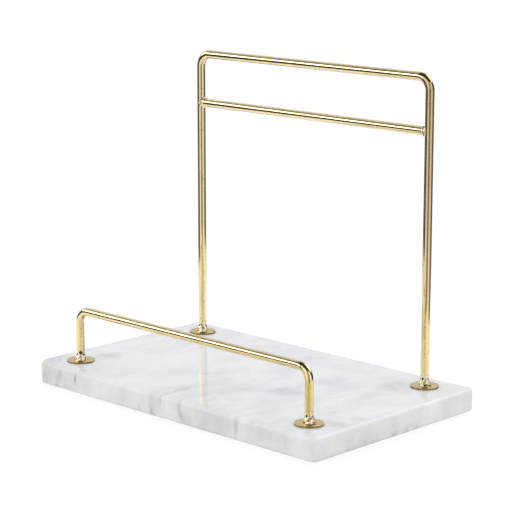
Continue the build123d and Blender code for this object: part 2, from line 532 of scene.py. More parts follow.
    @staticmethod
    def upward(tree: NodeTree) -> Source:
        """1 on the polished top, 0 on the honed sides, and between them on the eased edge."""
        normal = add(tree, "ShaderNodeNewGeometry").outputs["Normal"]
        height = add(tree, "ShaderNodeSeparateXYZ", [normal]).outputs["Z"]
        return add(
            tree, "ShaderNodeMapRange", [height, 0.55, 0.97, 0.0, 1.0], interpolation_type="SMOOTHSTEP"
        )


class Growth(ABC):
    """A Geometry Nodes tree that takes a geometry and named values, and makes a piece of them."""

    NAME: str
    INPUTS: tuple[tuple[str, str], ...]

    @abstractmethod
    def shape(self, tree: NodeTree, given: Any) -> Source:
        """Adds the nodes that make the shape.

        Args:
            tree: the tree.
            given: the tree's inputs.

        Returns:
            The shape, without its finish.
        """

    def tree(self) -> NodeTree:
        """Builds the tree, which ends by making instances real and setting the finish, unless it is built."""
        known = bpy.data.node_groups.get(self.NAME)
        if known:
            return known
        tree = bpy.data.node_groups.new(self.NAME, "GeometryNodeTree")
        tree.interface.new_socket("Geometry", in_out="INPUT", socket_type="NodeSocketGeometry")
        for title, kind in (*self.INPUTS, ("Finish", "NodeSocketMaterial")):
            tree.interface.new_socket(title, in_out="INPUT", socket_type=kind)
        tree.interface.new_socket("Geometry", in_out="OUTPUT", socket_type="NodeSocketGeometry")
        given = add(tree, "NodeGroupInput").outputs
        real = add(tree, "GeometryNodeRealizeInstances", [self.shape(tree, given)])
        dressed = add(tree, "GeometryNodeSetMaterial", {"Geometry": real, "Material": given["Finish"]})
        add(tree, "NodeGroupOutput", [dressed])
        return tree

    def grow(self, name: str, base: Mesh, finish: Finish, sizes: dict[str, Any]) -> Object:
        """Runs the tree on a mesh and keeps what it makes as a plain mesh.

        Args:
            name: name of the piece.
            base: the mesh that goes in.
            finish: the piece's finish.
            sizes: a value for each other named input of the tree.

        Returns:
            The piece, with no modifier left on it.
        """
        seed = linked(name + "_seed", base)
        modifier = seed.modifiers.new("grow", "NODES")
        modifier.node_group = self.tree()
        items = modifier.node_group.interface.items_tree
        sockets = {item.name: item.identifier for item in items if item.in_out == "INPUT"}
        for title, value in {**sizes, "Finish": finish.material()}.items():
            modifier[sockets[title]] = value
        graph = bpy.context.evaluated_depsgraph_get()
        mesh = bpy.data.meshes.new_from_object(seed.evaluated_get(graph))
        seed.modifiers.remove(modifier)
        bpy.data.objects.remove(seed)
        return linked(name, mesh)


class RodSweep(Growth):
    """Turns a bent path into round rod."""

    NAME = "rod_sweep"
    INPUTS = (
        ("Bend radius", "NodeSocketFloat"), ("Rod radius", "NodeSocketFloat"),
        ("Neck radius", "NodeSocketFloat"), ("Neck foot", "NodeSocketFloat"), ("Neck top", "NodeSocketFloat"),
        ("Step", "NodeSocketFloat"), ("Sides", "NodeSocketInt"), ("Ripple", "NodeSocketFloat"),
        ("Ripple length", "NodeSocketFloat"),
    )

    def shape(self, tree: NodeTree, given: Any) -> Source:
        """Rounds the path's corners, sweeps a circle that narrows at the neck, keeps each point's place on
        the straight rod as the attribute "straight", and ripples the skin a little."""
        tube = self.tube(tree, given, self.path(tree, given))
        return add(tree, "GeometryNodeSetShadeSmooth", [self.rippled(tree, given, tube)])

    @staticmethod
    def path(tree: NodeTree, given: Any) -> Source:
        """Rounds the corners, spaces the points evenly and stores how far along each one lies.

        Args:
            tree: the tree.
            given: the tree's inputs.

        Returns:
            The path as a curve.
        """
        curve = add(tree, "GeometryNodeMeshToCurve", {"Mesh": given["Geometry"]})
        bends = add(
            tree, "GeometryNodeFilletCurve",
            {"Curve": curve, "Count": 24, "Radius": given["Bend radius"], "Limit Radius": True}, mode="POLY",
        )
        even = add(
            tree, "GeometryNodeResampleCurve", {"Curve": bends, "Length": given["Step"]}, mode="LENGTH"
        )
        along = add(tree, "GeometryNodeSplineParameter")
        return add(
            tree, "GeometryNodeStoreNamedAttribute",
            {"Geometry": even, "Name": "along", "Value": along.outputs["Length"]}, data_type="FLOAT",
        )

    @staticmethod
    def tube(tree: NodeTree, given: Any, path: Source) -> Source:
        """Sweeps a circle along the path, narrower at the neck, and stores the straight rod's coordinates.

        Args:
            tree: the tree.
            given: the tree's inputs.
            path: the path as a curve.

        Returns:
            The rod's skin.
        """
        circle = add(tree, "GeometryNodeCurvePrimitiveCircle", {"Resolution": given["Sides"], "Radius": 1.0})
        place = add(tree, "GeometryNodeInputPosition")
        marked = add(
            tree, "GeometryNodeStoreNamedAttribute", {"Geometry": circle, "Name": "around", "Value": place},
            data_type="FLOAT_VECTOR",
        )
        height = add(tree, "ShaderNodeSeparateXYZ", [place]).outputs["Z"]
        radius = add(
            tree, "ShaderNodeMapRange",
            [height, given["Neck foot"], given["Neck top"], given["Neck radius"], given["Rod radius"]],
            interpolation_type="SMOOTHSTEP",
        )
        swept = add(
            tree, "GeometryNodeCurveToMesh",
            {"Curve": path, "Profile Curve": marked, "Scale": radius, "Fill Caps": True},
        )
        around = add(tree, "GeometryNodeInputNamedAttribute", {"Name": "around"}, data_type="FLOAT_VECTOR")
        along = add(tree, "GeometryNodeInputNamedAttribute", {"Name": "along"}, data_type="FLOAT")
        length = add(tree, "ShaderNodeCombineXYZ", {"Z": along})
        round_part = add(tree, "ShaderNodeVectorMath", {0: around, 3: given["Rod radius"]}, operation="SCALE")
        straight = add(tree, "ShaderNodeVectorMath", [round_part, length], operation="ADD")
        return add(
            tree, "GeometryNodeStoreNamedAttribute",
            {"Geometry": swept, "Name": "straight", "Value": straight}, data_type="FLOAT_VECTOR",
        )

    @staticmethod
    def rippled(tree: NodeTree, given: Any, tube: Source) -> Source:
        """Moves the skin by a few hundredths of a millimetre, as hand buffing does.

        Args:
            tree: the tree.
            given: the tree's inputs.
            tube: the rod's skin.

        Returns:
            The rippled skin.
        """
        straight = add(tree, "GeometryNodeInputNamedAttribute", ["straight"], data_type="FLOAT_VECTOR")
        scaled = add(tree, "ShaderNodeVectorMath", [straight, given["Ripple length"]], operation="DIVIDE")
        wave = add(tree, "ShaderNodeTexNoise", {"Vector": scaled, "Scale": 1.0, "Detail": 1.0})
        centred = add(tree, "ShaderNodeMath", [wave, 0.5], operation="SUBTRACT")
        size = add(tree, "ShaderNodeMath", [centred, given["Ripple"]], operation="MULTIPLY")
        normal = add(tree, "GeometryNodeInputNormal").outputs["Normal"]
        offset = add(tree, "ShaderNodeVectorMath", {0: normal, 3: size}, operation="SCALE")
        return add(tree, "GeometryNodeSetPosition", {"Geometry": tube, "Offset": offset})


@dataclass
class BentRod:
    """One rod of gilt steel wire, cut, bent and welded, or left straight."""

    name: str
    finish: GoldPlate
    corners: Sequence[Vector]
    radius: float
    bend_mm: float = 8.5
    neck_mm: float = 2.1
    neck_foot_mm: float = 22.0
    neck_top_mm: float = 25.0
    ripple_mm: float = 0.008

    def mesh(self) -> Object:
        """Sweeps the rod along its corners."""
        path = bpy.data.meshes.new(self.name + "_path")
        links = [(step, step + 1) for step in range(len(self.corners) - 1)]
        path.from_pydata([tuple(corner) for corner in self.corners], links, [])
        sizes = {
            "Bend radius": self.bend_mm * MM, "Rod radius": self.radius, "Neck radius": self.neck_mm * MM,
            "Neck foot": self.neck_foot_mm * MM, "Neck top": self.neck_top_mm * MM, "Step": 0.8 * MM,
            "Sides": 40, "Ripple": self.ripple_mm * MM, "Ripple length": 9 * MM,
        }
        return RodSweep().grow(self.name + "_rod", path, self.finish, sizes)

    def build(self) -> None:
        """Makes the rod in the place of its CAD node."""
        fit(self.mesh(), Slot.GOLD.value, self.name)


@dataclass(frozen=True)
class Lobe:
    """A bulge of braze, or with a negative height a pit, on a collar; the collar darkens its pits with
    painted shade.

    The angle is seen from the camera's side: 0 faces it and 90 is on the right.
    """

    angle: float
    level: float
    height: float
    spread: float = 34.0
    tall: float = 1.6
    lean: float = 0.0

    def swell(self, angle: float, height: float) -> float:
        """How far the lobe lifts a point of the collar, in millimetres.

        Args:
            angle: the point's angle from the +X axis, in radians.
            height: the point's height, in millimetres.

        Returns:
            The lift, which is negative in a pit.
        """
        middle = self.angle - 45 + self.lean * (self.level - height)
        apart = (math.degrees(angle) - middle + 180) % 360 - 180
        above = height - self.level
        return self.height * math.exp(-((apart / self.spread) ** 2) - (above / self.tall) ** 2)


@dataclass
class Foot:
    """The foot of one leg: a stamped flange, the brazed collar that joins the leg to it, and the screw and
    washer that hold it from below."""

    corner: str
    lobes: Sequence[Lobe]
    steps: int = 96
    rim_shade: float = 0.5

    def name(self, piece: str) -> str:
        """Name of this foot's CAD node for a piece."""
        return f"{self.corner}_{piece}"

    def build(self, stamped: GoldPlate, brazed: GoldPlate, zinc: ZincPlate) -> None:
        """Makes every piece of the foot."""
        self.flange(stamped)
        self.collar(brazed)
        self.washer(zinc)
        self.screw(zinc)

    def placed(self, piece: str, mesh: Mesh) -> Object:
        """Moves a mesh made about the origin to this foot's axis and names it after a piece."""
        middle = box_centre(self.name("flange"))
        mesh.transform(Matrix.Translation((middle.x, middle.y, 0.0)))
        return linked(self.name(piece), smoothed(mesh, 50))

    def rough(self, spot: Vector, *waves: tuple[float, float]) -> float:
        """Noise that is this foot's own.

        Args:
            spot: a place, in millimetres.
            waves: how many waves go into a millimetre, and how high they are, in millimetres.

        Returns:
            The noise at the place, in millimetres.
        """
        own = Vector((3.1, 1.7, 0.4)) * (len(self.corner) + ord(self.corner[0]) - ord(self.corner[-1]))
        return sum(noise.noise(spot * pace + own) * size for pace, size in waves)

    def flange(self, finish: GoldPlate) -> None:
        """A stamped disc with an eased rim and soft hammer marks on its satin face."""
        _, low, high, rim = upright(self.name("flange"))
        bore = 2.6
        profile = [(bore, low), (rim * 0.6, low), (rim - 0.15, low), (rim - 0.03, low + 0.05)]
        profile += [(rim, low + 0.16)]
        profile += [(rim, high - 0.3), (rim - 0.05, high - 0.15), (rim - 0.2, high - 0.06)]
        inner = [(rim - 0.55 - 0.5 * ring, high - 0.04) for ring in range(12)]
        profile += inner + [(bore, high - 0.04)]

        def hammered(radius: float, angle: float, height: float) -> tuple[float, float]:
            """Dents the upper face by a few hundredths of a millimetre."""
            if height < high - 0.1:
                return radius, height
            spot = Vector((radius * math.cos(angle), radius * math.sin(angle), 0.0))
            dent = self.rough(spot, (0.5, 0.05), (1.4, 0.018))
            return radius, min(height + dent, high)

        mesh = revolved(profile, self.steps, hammered, closed=True)
        # Painted shade: the rim and underside of the disc are darkened toward brown, standing in for the
        # contact shadow and dark reflection along its edge.
        store_painted_shade(mesh, lambda angle, height: self.rim_shade if height < high - 0.2 else 0.0)
        piece = self.placed("flange_disc", mesh)
        finish.dress(piece)
        fit(piece, Slot.GOLD.value, self.name("flange"))

    def collar(self, finish: GoldPlate) -> None:
        """The brazed collar: a flared skirt of lobes that thins out on the leg."""
        levels = 46
        top = 25.4
        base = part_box(self.name("foot_weld"))[0].z / MM - 0.3
        profile = [(0.0, base)]
        for level in range(levels + 1):
            height = base + (top - base) * (level / levels) ** 1.1
            flare = max(0.0, 1 - (height - base) / 5.2)
            sink = max(0.0, (height - top + 0.8) / 0.8)
            profile.append((2.78 + 1.3 * flare**1.5 - 0.4 * sink**2, height))
        profile.append((0.0, top))

        def lobed(radius: float, angle: float, height: float) -> tuple[float, float]:
            """Adds the lobes, the pits and the skin's small dimples."""
            inside = min(1.0, max(0.0, (top - height) / 1.6))
            spot = Vector((radius * math.cos(angle), radius * math.sin(angle), height))
            dimpled = 0.3 + 0.7 * min(1.0, max(0.0, (23 - height) / 3))
            skin = self.rough(spot, (0.9, 0.12), (2.1, 0.06))
            swell = sum(lobe.swell(angle, height) for lobe in self.lobes)
            return radius + (swell + skin * dimpled) * inside, height

        mesh = revolved(profile, self.steps, lobed)
        pits = [lobe for lobe in self.lobes if lobe.height < 0]
        # Painted shade: the pits are darkened toward brown, standing in for the shade inside them.
        store_painted_shade(mesh, lambda angle, height: (sum(pit.swell(angle, height) for pit in pits) / 0.22) ** 2)
        piece = self.placed("braze_collar", mesh)
        finish.dress(piece)
        fit(piece, Slot.GOLD.value, self.name("foot_weld"))

    def washer(self, finish: ZincPlate) -> None:
        """A stamped flat washer: one edge rolled over by the punch, the other sharp."""
        _, low, high, rim = upright(self.name("washer"))
        bore = 1.6
        profile = [(bore, low + 0.12), (bore + 0.12, low), (rim - 0.2, low), (rim - 0.05, low + 0.07)]
        profile += [(rim, low + 0.22), (rim, high - 0.04), (rim - 0.04, high), (bore + 0.04, high)]
        profile += [(bore, high - 0.04)]
        piece = self.placed("flat_washer", revolved(profile, 72, closed=True))
        finish.dress(piece)
        fit(piece, Slot.ZINC.value, self.name("washer"))

    def screw(self, finish: ZincPlate) -> None:
        """A pan head machine screw with a rolled M3 thread and a cross recess."""
        middle, low, high, head = upright(self.name("screw"))
        head_tall = 2.4
        seat = low + head_tall
        pitch, crest = 0.5, 1.47
        profile = [(0.0, low), (head * 0.45, low + 0.02), (head * 0.68, low + 0.2), (head * 0.88, low + 0.62)]
        profile += [(head * 0.98, low + 1.2), (head, low + 1.7), (head, seat - 0.15), (head - 0.12, seat)]
        rings = int((high - seat) / (pitch / 6))
        profile += [(crest, seat + (high - seat) * ring / rings) for ring in range(rings + 1)]
        profile.append((0.0, high))

        def threaded(radius: float, angle: float, height: float) -> tuple[float, float]:
            """Cuts the helix into the shank and points its tip."""
            if height < seat + 0.02:
                return radius, height
            turn = (height / pitch - angle / math.tau) % 1.0
            cut = 0.29 * (1 - abs(2 * turn - 1))
            run_in = min(1.0, (height - seat) / 0.8)
            tip = max(0.0, (height - high + 0.5) / 0.5)
            return radius - cut * run_in * (1 - tip) - 0.45 * tip, height

        mesh = revolved(profile, 24, threaded)
        mesh.transform(Matrix.Translation((middle.x, middle.y, 0.0)))
        sizes = {"Width": 0.8 * MM, "Span": 3.2 * MM, "Depth": 1.3 * MM}
        sizes["Centre"] = (middle.x, middle.y, low * MM)
        piece = CrossRecess().grow(self.name("pan_head_screw"), smoothed(mesh, 35), finish, sizes)
        fit(piece, Slot.ZINC.value, self.name("screw"))


class CrossRecess(Growth):
    """Cuts a cross recess into the underside of a screw's head."""

    NAME = "cross_recess"
    INPUTS = (
        ("Centre", "NodeSocketVector"), ("Width", "NodeSocketFloat"), ("Span", "NodeSocketFloat"),
        ("Depth", "NodeSocketFloat"),
    )

    def shape(self, tree: NodeTree, given: Any) -> Source:
        """Takes two crossed blocks out of what goes in."""
        double = add(tree, "ShaderNodeMath", [given["Depth"], 2.0], operation="MULTIPLY")
        bars = []
        for x, y in (("Width", "Span"), ("Span", "Width")):
            size = add(tree, "ShaderNodeCombineXYZ", {"X": given[x], "Y": given[y], "Z": double})
            block = add(tree, "GeometryNodeMeshCube", {"Size": size})
            place = {"Geometry": block, "Translation": given["Centre"]}
            bars.append(add(tree, "GeometryNodeTransform", place))
        cut = add(
            tree, "GeometryNodeMeshBoolean", {"Mesh 1": given["Geometry"]}, operation="DIFFERENCE",
            solver="EXACT",
        )
        for bar in bars:
            plug(tree, cut, {"Mesh 2": bar})
        return cut


class GripPad(Growth):
    """Studs the underside of a rubber pad with a honeycomb of small domes."""

    NAME = "grip_pad"
    INPUTS = (
        ("Centre", "NodeSocketVector"), ("Reach", "NodeSocketFloat"), ("Pitch", "NodeSocketFloat"),
        ("Dome", "NodeSocketVector"),
    )

    def shape(self, tree: NodeTree, given: Any) -> Source:
        """Adds a dome at each point of a hexagonal grid within the reach of the centre."""
        count = 15
        across = add(tree, "ShaderNodeMath", [given["Pitch"], float(count - 1)], operation="MULTIPLY")
        grid = add(
            tree, "GeometryNodeMeshGrid",
            {"Size X": across, "Size Y": across, "Vertices X": count, "Vertices Y": count},
        )
        parts = add(tree, "ShaderNodeSeparateXYZ", [add(tree, "GeometryNodeInputPosition")]).outputs
        # Every row moves half a pitch further than the one before; rows stand 0.866 of a pitch apart.
        lean = add(tree, "ShaderNodeMath", [parts["Y"], 0.5, parts["X"]], operation="MULTIPLY_ADD")
        row = add(tree, "ShaderNodeMath", [parts["Y"], 0.866], operation="MULTIPLY")
        hexed = add(tree, "ShaderNodeCombineXYZ", {"X": lean, "Y": row})
        moved = add(tree, "GeometryNodeSetPosition", {"Geometry": grid, "Position": hexed})
        far = add(tree, "ShaderNodeVectorMath", [add(tree, "GeometryNodeInputPosition")], operation="LENGTH")
        out = add(tree, "ShaderNodeMath", [far.outputs["Value"], given["Reach"]], operation="GREATER_THAN")
        kept = add(tree, "GeometryNodeDeleteGeometry", {"Geometry": moved, "Selection": out})
        dome = add(tree, "GeometryNodeMeshUVSphere", {"Segments": 8, "Rings": 6, "Radius": 1.0})
        domes = add(
            tree, "GeometryNodeInstanceOnPoints", {"Points": kept, "Instance": dome, "Scale": given["Dome"]}
        )
        place = {"Geometry": domes, "Translation": given["Centre"]}
        studs = add(tree, "GeometryNodeTransform", place)
        join = add(tree, "GeometryNodeJoinGeometry")
        plug(tree, join, [studs])
        plug(tree, join, [given["Geometry"]])
        return join


@dataclass
class Pad:
    """One rubber pad under the slab."""

    corner: str
    finish: MouldedRubber

    def build(self) -> None:
        """Makes the pad: a moulded disc on a studded underside."""
        node = f"{self.corner}_pad"
        middle, low, high, rim = upright(node)
        stud = 0.3
        profile = [(0.0, low + stud), (rim - 0.8, low + stud), (rim - 0.45, low + 0.1)]
        profile += [(rim - 0.15, low + 0.28)]
        profile += [(rim, low + 0.65), (rim, high - 0.1), (rim - 0.1, high), (0.0, high)]
        mesh = revolved(profile, 64)
        mesh.transform(Matrix.Translation((middle.x, middle.y, 0.0)))
        sizes = {
            "Centre": (middle.x, middle.y, (low + stud) * MM), "Reach": (rim - 1.3) * MM, "Pitch": 1.15 * MM,
            "Dome": (0.42 * MM, 0.42 * MM, stud * MM),
        }
        piece = GripPad().grow(f"{self.corner}_grip_pad", smoothed(mesh, 35), self.finish, sizes)
        fit(piece, Slot.RUBBER.value, node)


@dataclass
class Bead:
    """The bead of braze round one end of the cross bar."""

    side: str
    lumps_mm: float
    shift: float

    def build(self, finish: GoldPlate) -> None:
        """Makes the bead: two ridges round the bar, the outer one run out on the leg."""
        node = f"cross_bar_{self.side}_weld"
        low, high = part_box(node)
        length = (high.x - low.x) / MM
        ridges = ((0.0, 2.4), (0.05, 2.8), (0.08, 3.15), (0.15, 3.42), (0.24, 3.45), (0.33, 3.2), (0.4, 2.86))
        ridges += ((0.46, 2.8), (0.52, 3.05), (0.62, 3.5), (0.76, 3.6), (0.9, 3.2), (1.0, 2.5))
        profile = [(0.0, 0.0)] + [(radius, along * length) for along, radius in ridges] + [(0.0, length)]

        def lumpy(radius: float, angle: float, height: float) -> tuple[float, float]:
            """Breaks the ridges up into lumps."""
            spot = Vector((radius * math.cos(angle), radius * math.sin(angle), height + self.shift))
            inside = min(1.0, max(0.0, height / 0.6)) * min(1.0, max(0.0, (length - height) / 0.4))
            lump = noise.noise(spot * 0.75) + 0.5 * noise.noise(spot * 1.7)
            return radius + lump * self.lumps_mm * inside, height

        mesh = revolved(finer(profile, 3), 72, lumpy)

        def painted_dark(angle: float, height: float) -> float:
            """Painted shade in the groove between the ridges and where the bead meets the leg, broken into
            patches.
            """
            groove = math.exp(-(((height / length - 0.42) / 0.09) ** 2))
            end = math.exp(-(((height / length - 1.0) / 0.16) ** 2))
            patchy = 0.5 + 1.4 * noise.noise(Vector((math.cos(angle), math.sin(angle), self.shift)) * 1.6)
            return max(0.0, groove + end) * min(1.0, max(0.0, patchy + 0.25))

        store_painted_shade(mesh, painted_dark)
        outward = 1 if self.side == "right" else -1
        mesh.transform(Matrix.Rotation(math.radians(90 * outward), 4, "Y"))
        middle = box_centre(node)
        mesh.transform(Matrix.Translation((low.x if outward > 0 else high.x, middle.y, middle.z)))
        piece = linked(f"cross_bar_{self.side}_bead", smoothed(mesh, 60))
        finish.dress(piece)
        fit(piece, Slot.GOLD.value, node)


@dataclass(frozen=True)
class Card:
    """A flat reflector that only mirrors see, with its corner and two sides across the view, away from the
    camera and upward, in metres."""

    name: str
    corner: tuple[float, float, float]
    first: tuple[float, float, float]
    second: tuple[float, float, float]
    light: float
    tone: tuple[float, float, float] = (1.0, 1.0, 1.0)


@dataclass
class Studio:
    """A white floor, soft light from all sides and the camera. Just under the floor that the camera sees lies
    a duller one that throws light back up. The softboxes and the dark parts of the room are painted on the
    world and on cards that only mirror-like surfaces see."""

    azimuth: float = 44.19
    tilt: float = 12.01
    lens: float = 134.64
    eye_mm: tuple[float, float, float] = (834.0, -852.3, 348.3)
    fill: float = 0.97
    room_tone: tuple[float, float, float] = (1.0, 1.0, 1.06)
    far_paper: Card = Card("far_paper", (-0.34, 0.0, 0.0), (0.68, 0, 0), (0, 0.33, 0), 1.0, (1.08, 1.1, 1.16))
    # How far each strip of the near paper reaches to both sides, in metres, and what mirrors see of it.
    near_paper: tuple[tuple[float, tuple[float, float, float]], ...] = (
        (0.05, (0.62, 0.57, 0.41)), (0.12, (0.80, 0.75, 0.57)), (0.20, (0.97, 0.94, 0.80)),
        (0.34, (1.06, 1.06, 1.04)),
    )
    softbox: Card = Card("left_softbox", (-1.4, -0.6, 0.42), (0, 1.4, 0), (0, 0, 0.58), 3.4)

    def cards(self) -> list[Card]:
        """The softbox and the paper, whose near half is cut into strips, darker towards its middle."""
        found = [self.softbox, self.far_paper]
        inner = 0.0
        for outer, tone in self.near_paper:
            for side in (-1, 1):
                corner = (side * inner, -0.30, 0.0)
                across = (side * (outer - inner), 0.0, 0.0)
                found.append(Card(f"near_paper_{outer}_{side}", corner, across, (0.0, 0.30, 0.0), 1.0, tone))
            inner = outer
        return found

    def build(self) -> None:
        """Sets up the whole studio."""
        self.camera()
        floor = self.sheet(Card("floor", (-8, -8, 0), (16, 0, 0), (0, 16, 0), 0.9), diffuse=0.12)
        floor.visible_glossy = False
        floor.visible_diffuse = False
        ground = self.sheet(Card("ground", (-8, -8, -0.001), (16, 0, 0), (0, 16, 0), 0.14), diffuse=0.8)
        ground.visible_camera = False
        ground.visible_glossy = False
        for card in self.cards():
            sheet = self.sheet(card, diffuse=0.0)
            sheet.visible_camera = False
            sheet.visible_diffuse = False
            sheet.visible_shadow = False
            sheet.visible_transmission = False
        self.world()
        bpy.context.scene.view_settings.view_transform = "Standard"

    def camera(self) -> None:
        """A long lens, three-quarter view, a little above the holder."""
        data = bpy.data.cameras.new("camera")
        data.lens = self.lens
        data.sensor_width = 36.0
        data.clip_end = 50.0
        eye = bpy.data.objects.new("camera", data)
        eye.location = Vector(self.eye_mm) * MM
        eye.rotation_euler = (math.radians(90 - self.tilt), 0.0, math.radians(self.azimuth))
        bpy.context.scene.collection.objects.link(eye)
        bpy.context.scene.camera = eye

    def sheet(self, card: Card, diffuse: float) -> Object:
        """Puts up a card.

        Args:
            card: the card.
            diffuse: how much of the light that falls on it comes back.

        Returns:
            The card as a stage object.
        """
        corner, first, second = Vector(card.corner), Vector(card.first), Vector(card.second)
        mesh = bpy.data.meshes.new(card.name)
        corners = [corner, corner + first, corner + first + second, corner + second]
        mesh.from_pydata(corners, [], [(0, 1, 2, 3)])
        mesh.transform(Matrix.Rotation(math.radians(self.azimuth), 4, "Z"))
        made = bpy.data.materials.new(card.name)
        made.use_nodes = True
        look = {
            "Base Color": (diffuse, diffuse, diffuse, 1.0), "Roughness": 1.0, "Specular IOR Level": 0.0,
            "Emission Color": (*card.tone, 1.0), "Emission Strength": card.light,
        }
        plug(made.node_tree, made.node_tree.nodes["Principled BSDF"], look)
        mesh.materials.append(made)
        obj = linked(card.name, mesh)
        return obj

    def world(self) -> None:
        """White behind everything, even light for matte surfaces, and a room of softboxes for mirrors."""
        world = bpy.data.worlds.new("studio")
        bpy.context.scene.world = world
        world.use_nodes = True
        tree = world.node_tree
        tree.nodes.clear()
        ray = add(tree, "ShaderNodeLightPath").outputs
        fill = add(tree, "ShaderNodeBackground", {"Color": (1, 1, 1, 1), "Strength": self.fill})
        white = add(tree, "ShaderNodeBackground", {"Color": (1, 1, 1, 1), "Strength": 1.0})
        room = add(tree, "ShaderNodeBackground", {"Color": (*self.room_tone, 1), "Strength": self.room(tree)})
        lit = add(tree, "ShaderNodeMixShader", [ray["Is Glossy Ray"], fill, room])
        seen = add(tree, "ShaderNodeMixShader", [ray["Is Camera Ray"], lit, white])
        add(tree, "ShaderNodeOutputWorld", {"Surface": seen})

    def room(self, tree: NodeTree) -> Source:
        """The room that mirrors see: dark, with a grey backdrop and softboxes.

        Args:
            tree: the world's tree.

        Returns:
            The room's brightness in each direction.
        """
        panels = (
            # (azimuth from the camera's side, elevation, half width, half height, softness, brightness)
            (180.0, 25.0, 50.0, 25.0, 14.0, 0.85),
            (-180.0, 25.0, 50.0, 25.0, 14.0, 0.85),
            (0.0, -14.0, 24.0, 18.0, 6.0, 0.28),
            (0.0, 24.0, 24.0, 21.0, 6.0, 0.42),
            (-114.0, -16.0, 17.0, 15.0, 6.0, 0.24),
            (98.0, -16.0, 32.0, 15.0, 6.0, 0.22),
            (-44.0, -12.0, 22.0, 18.0, 5.0, 1.0),
            (44.0, -12.0, 22.0, 18.0, 5.0, 1.0),
            (-44.0, 25.0, 22.0, 20.0, 5.0, 1.2),
            (44.0, 25.0, 22.0, 20.0, 5.0, 1.1),
            (-128.0, 46.0, 22.0, 14.0, 8.0, 0.4),
            (125.0, 41.0, 25.0, 14.0, 4.0, 3.4),
        )
        direction = add(tree, "ShaderNodeTexCoord").outputs["Generated"]
        turned = add(
            tree, "ShaderNodeVectorRotate", {"Vector": direction, "Angle": math.radians(-self.azimuth)},
            rotation_type="Z_AXIS",
        )
        parts = add(tree, "ShaderNodeSeparateXYZ", [turned]).outputs
        toward = add(tree, "ShaderNodeMath", [parts["Y"], -1.0], operation="MULTIPLY")
        azimuth = add(tree, "ShaderNodeMath", [parts["X"], toward], operation="ARCTAN2")
        elevation = add(tree, "ShaderNodeMath", [parts["Z"]], operation="ARCSINE")
        total: Any = 0.05
        for side, rise, wide, tall, soft, bright in panels:
            cover: Any = 1.0
            for angle, middle, half in ((azimuth, side, wide), (elevation, rise, tall)):
                off = add(tree, "ShaderNodeMath", [angle, math.radians(middle)], operation="SUBTRACT")
                size = add(tree, "ShaderNodeMath", [off], operation="ABSOLUTE")
                edge = add(
                    tree, "ShaderNodeMapRange",
                    [size, math.radians(half + soft / 2), math.radians(half - soft / 2), 0.0, 1.0],
                    interpolation_type="SMOOTHSTEP",
                )
                cover = add(tree, "ShaderNodeMath", [edge, cover], operation="MULTIPLY")
            total = add(tree, "ShaderNodeMix", {0: cover, 2: total, 3: bright}, data_type="FLOAT")
        return total


@dataclass
class Holder:
    """The whole holder, built from its sub-assemblies."""

    clouds: tuple[Cloud, ...] = field(default_factory=tuple)

    def build(self) -> None:
        """Builds each sub-assembly in turn."""
        drawn = GoldPlate("gold_plated_drawn_rod", Working.DRAWN)
        stamped = GoldPlate(
            "gold_plated_stamping", Working.STAMPED, colour="#CFB87A", tarnish="#B3945F", roughness=0.24,
            grain_mm=0.7, bump_mm=0.016,
        )
        brazed = GoldPlate(
            "gold_plated_braze", Working.BRAZED, colour="#F4E7C0", roughness=0.1, grain_mm=0.8, bump_mm=0.012
        )
        zinc = ZincPlate("zinc_plated_fastener")
        rubber = MouldedRubber("moulded_rubber")
        VeinedMarble("polished_white_marble", clouds=self.clouds).dress(bpy.data.objects["marble_base"])
        LOG.info("marble_base: kept, dressed as polished marble")
        self.rods(drawn)
        for bead in (Bead("left", 0.65, 3.0), Bead("right", 0.65, 11.0)):
            bead.build(brazed)
        for foot in self.feet():
            foot.build(stamped, brazed, zinc)
            Pad(foot.corner, rubber).build()

    def rods(self, finish: GoldPlate) -> None:
        """The back frame, the front rail and the cross bar, along the CAD's own lines."""
        for name, side in (("back_frame", "back"), ("front_rail", "front")):
            left = box_centre(f"{side}_left_flange")
            right = box_centre(f"{side}_right_flange")
            low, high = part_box(name)
            radius = (high.y - low.y) / 2
            top = high.z - radius
            foot = 17.3 * MM
            corners = [
                Vector((left.x, left.y, foot)), Vector((left.x, left.y, top)),
                Vector((right.x, right.y, top)), Vector((right.x, right.y, foot)),
            ]
            BentRod(name, finish, corners, radius).build()
        low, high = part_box("cross_bar")
        middle = box_centre("cross_bar")
        ends = [Vector((low.x, middle.y, middle.z)), Vector((high.x, middle.y, middle.z))]
        BentRod("cross_bar", finish, ends, (high.y - low.y) / 2).build()

    @staticmethod
    def feet() -> list[Foot]:
        """The four feet, each with its own run of braze."""
        return [
            Foot(
                "back_left",
                (
                    Lobe(-58, 20.4, 0.4, 18, 1.3), Lobe(56, 20.4, 0.45, 18, 1.5),
                    Lobe(-22, 22.8, -0.4, 12, 0.55), Lobe(4, 20.8, -0.22, 13, 1.2, 8),
                ),
            ),
            Foot(
                "back_right",
                (
                    Lobe(-50, 20.6, 0.5, 22, 0.8), Lobe(50, 20.4, 0.65, 16, 2.4, 10),
                    Lobe(-34, 22.6, -0.5, 15, 0.65), Lobe(8, 19.0, -0.35, 26, 0.4),
                ),
            ),
            Foot(
                "front_left",
                (
                    Lobe(-46, 19.8, 0.45, 22, 1.2), Lobe(48, 19.8, 0.4, 22, 1.1),
                    Lobe(0, 23.2, -0.55, 20, 0.85), Lobe(40, 22.0, -0.25, 10, 1.3, 12),
                ),
            ),
            Foot(
                "front_right",
                (
                    Lobe(-40, 20.4, 0.45, 22, 1.0), Lobe(52, 20.2, 0.6, 16, 2.2, 10),
                    Lobe(-36, 22.6, -0.5, 14, 0.65), Lobe(2, 20.8, -0.28, 11, 1.4, -16),
                ),
            ),
        ]


